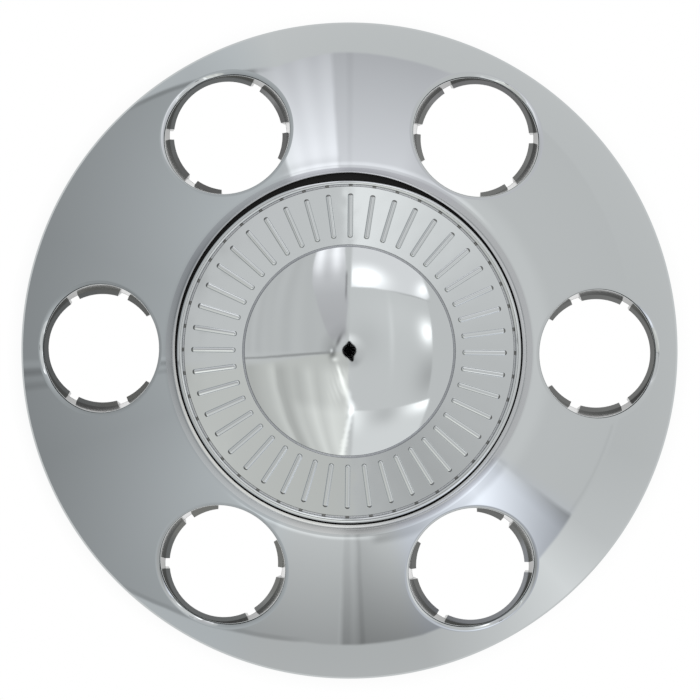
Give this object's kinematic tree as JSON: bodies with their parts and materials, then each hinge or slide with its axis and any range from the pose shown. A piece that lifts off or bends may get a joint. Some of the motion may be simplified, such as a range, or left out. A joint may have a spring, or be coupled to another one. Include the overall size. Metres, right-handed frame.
{
  "type": "wheel center cap",
  "caption": "Round chrome-plated cap for a wheel hub, with a domed flange, lug holes with notched lips and a raised disc with radial flutes and a dome.",
  "frame": {"origin": "on the wheel axis, in the plane of the rear rim", "axes": "+Z along the wheel axis, out of the wheel; one lug hole on +X"},
  "size_m": [0.1882, 0.1882, 0.0491],
  "materials": {
    "chrome": "bright chrome plate on moulded ABS"
  },
  "bodies": {
    "root": {"center_cap": "chrome"}
  },
  "joints": []
}
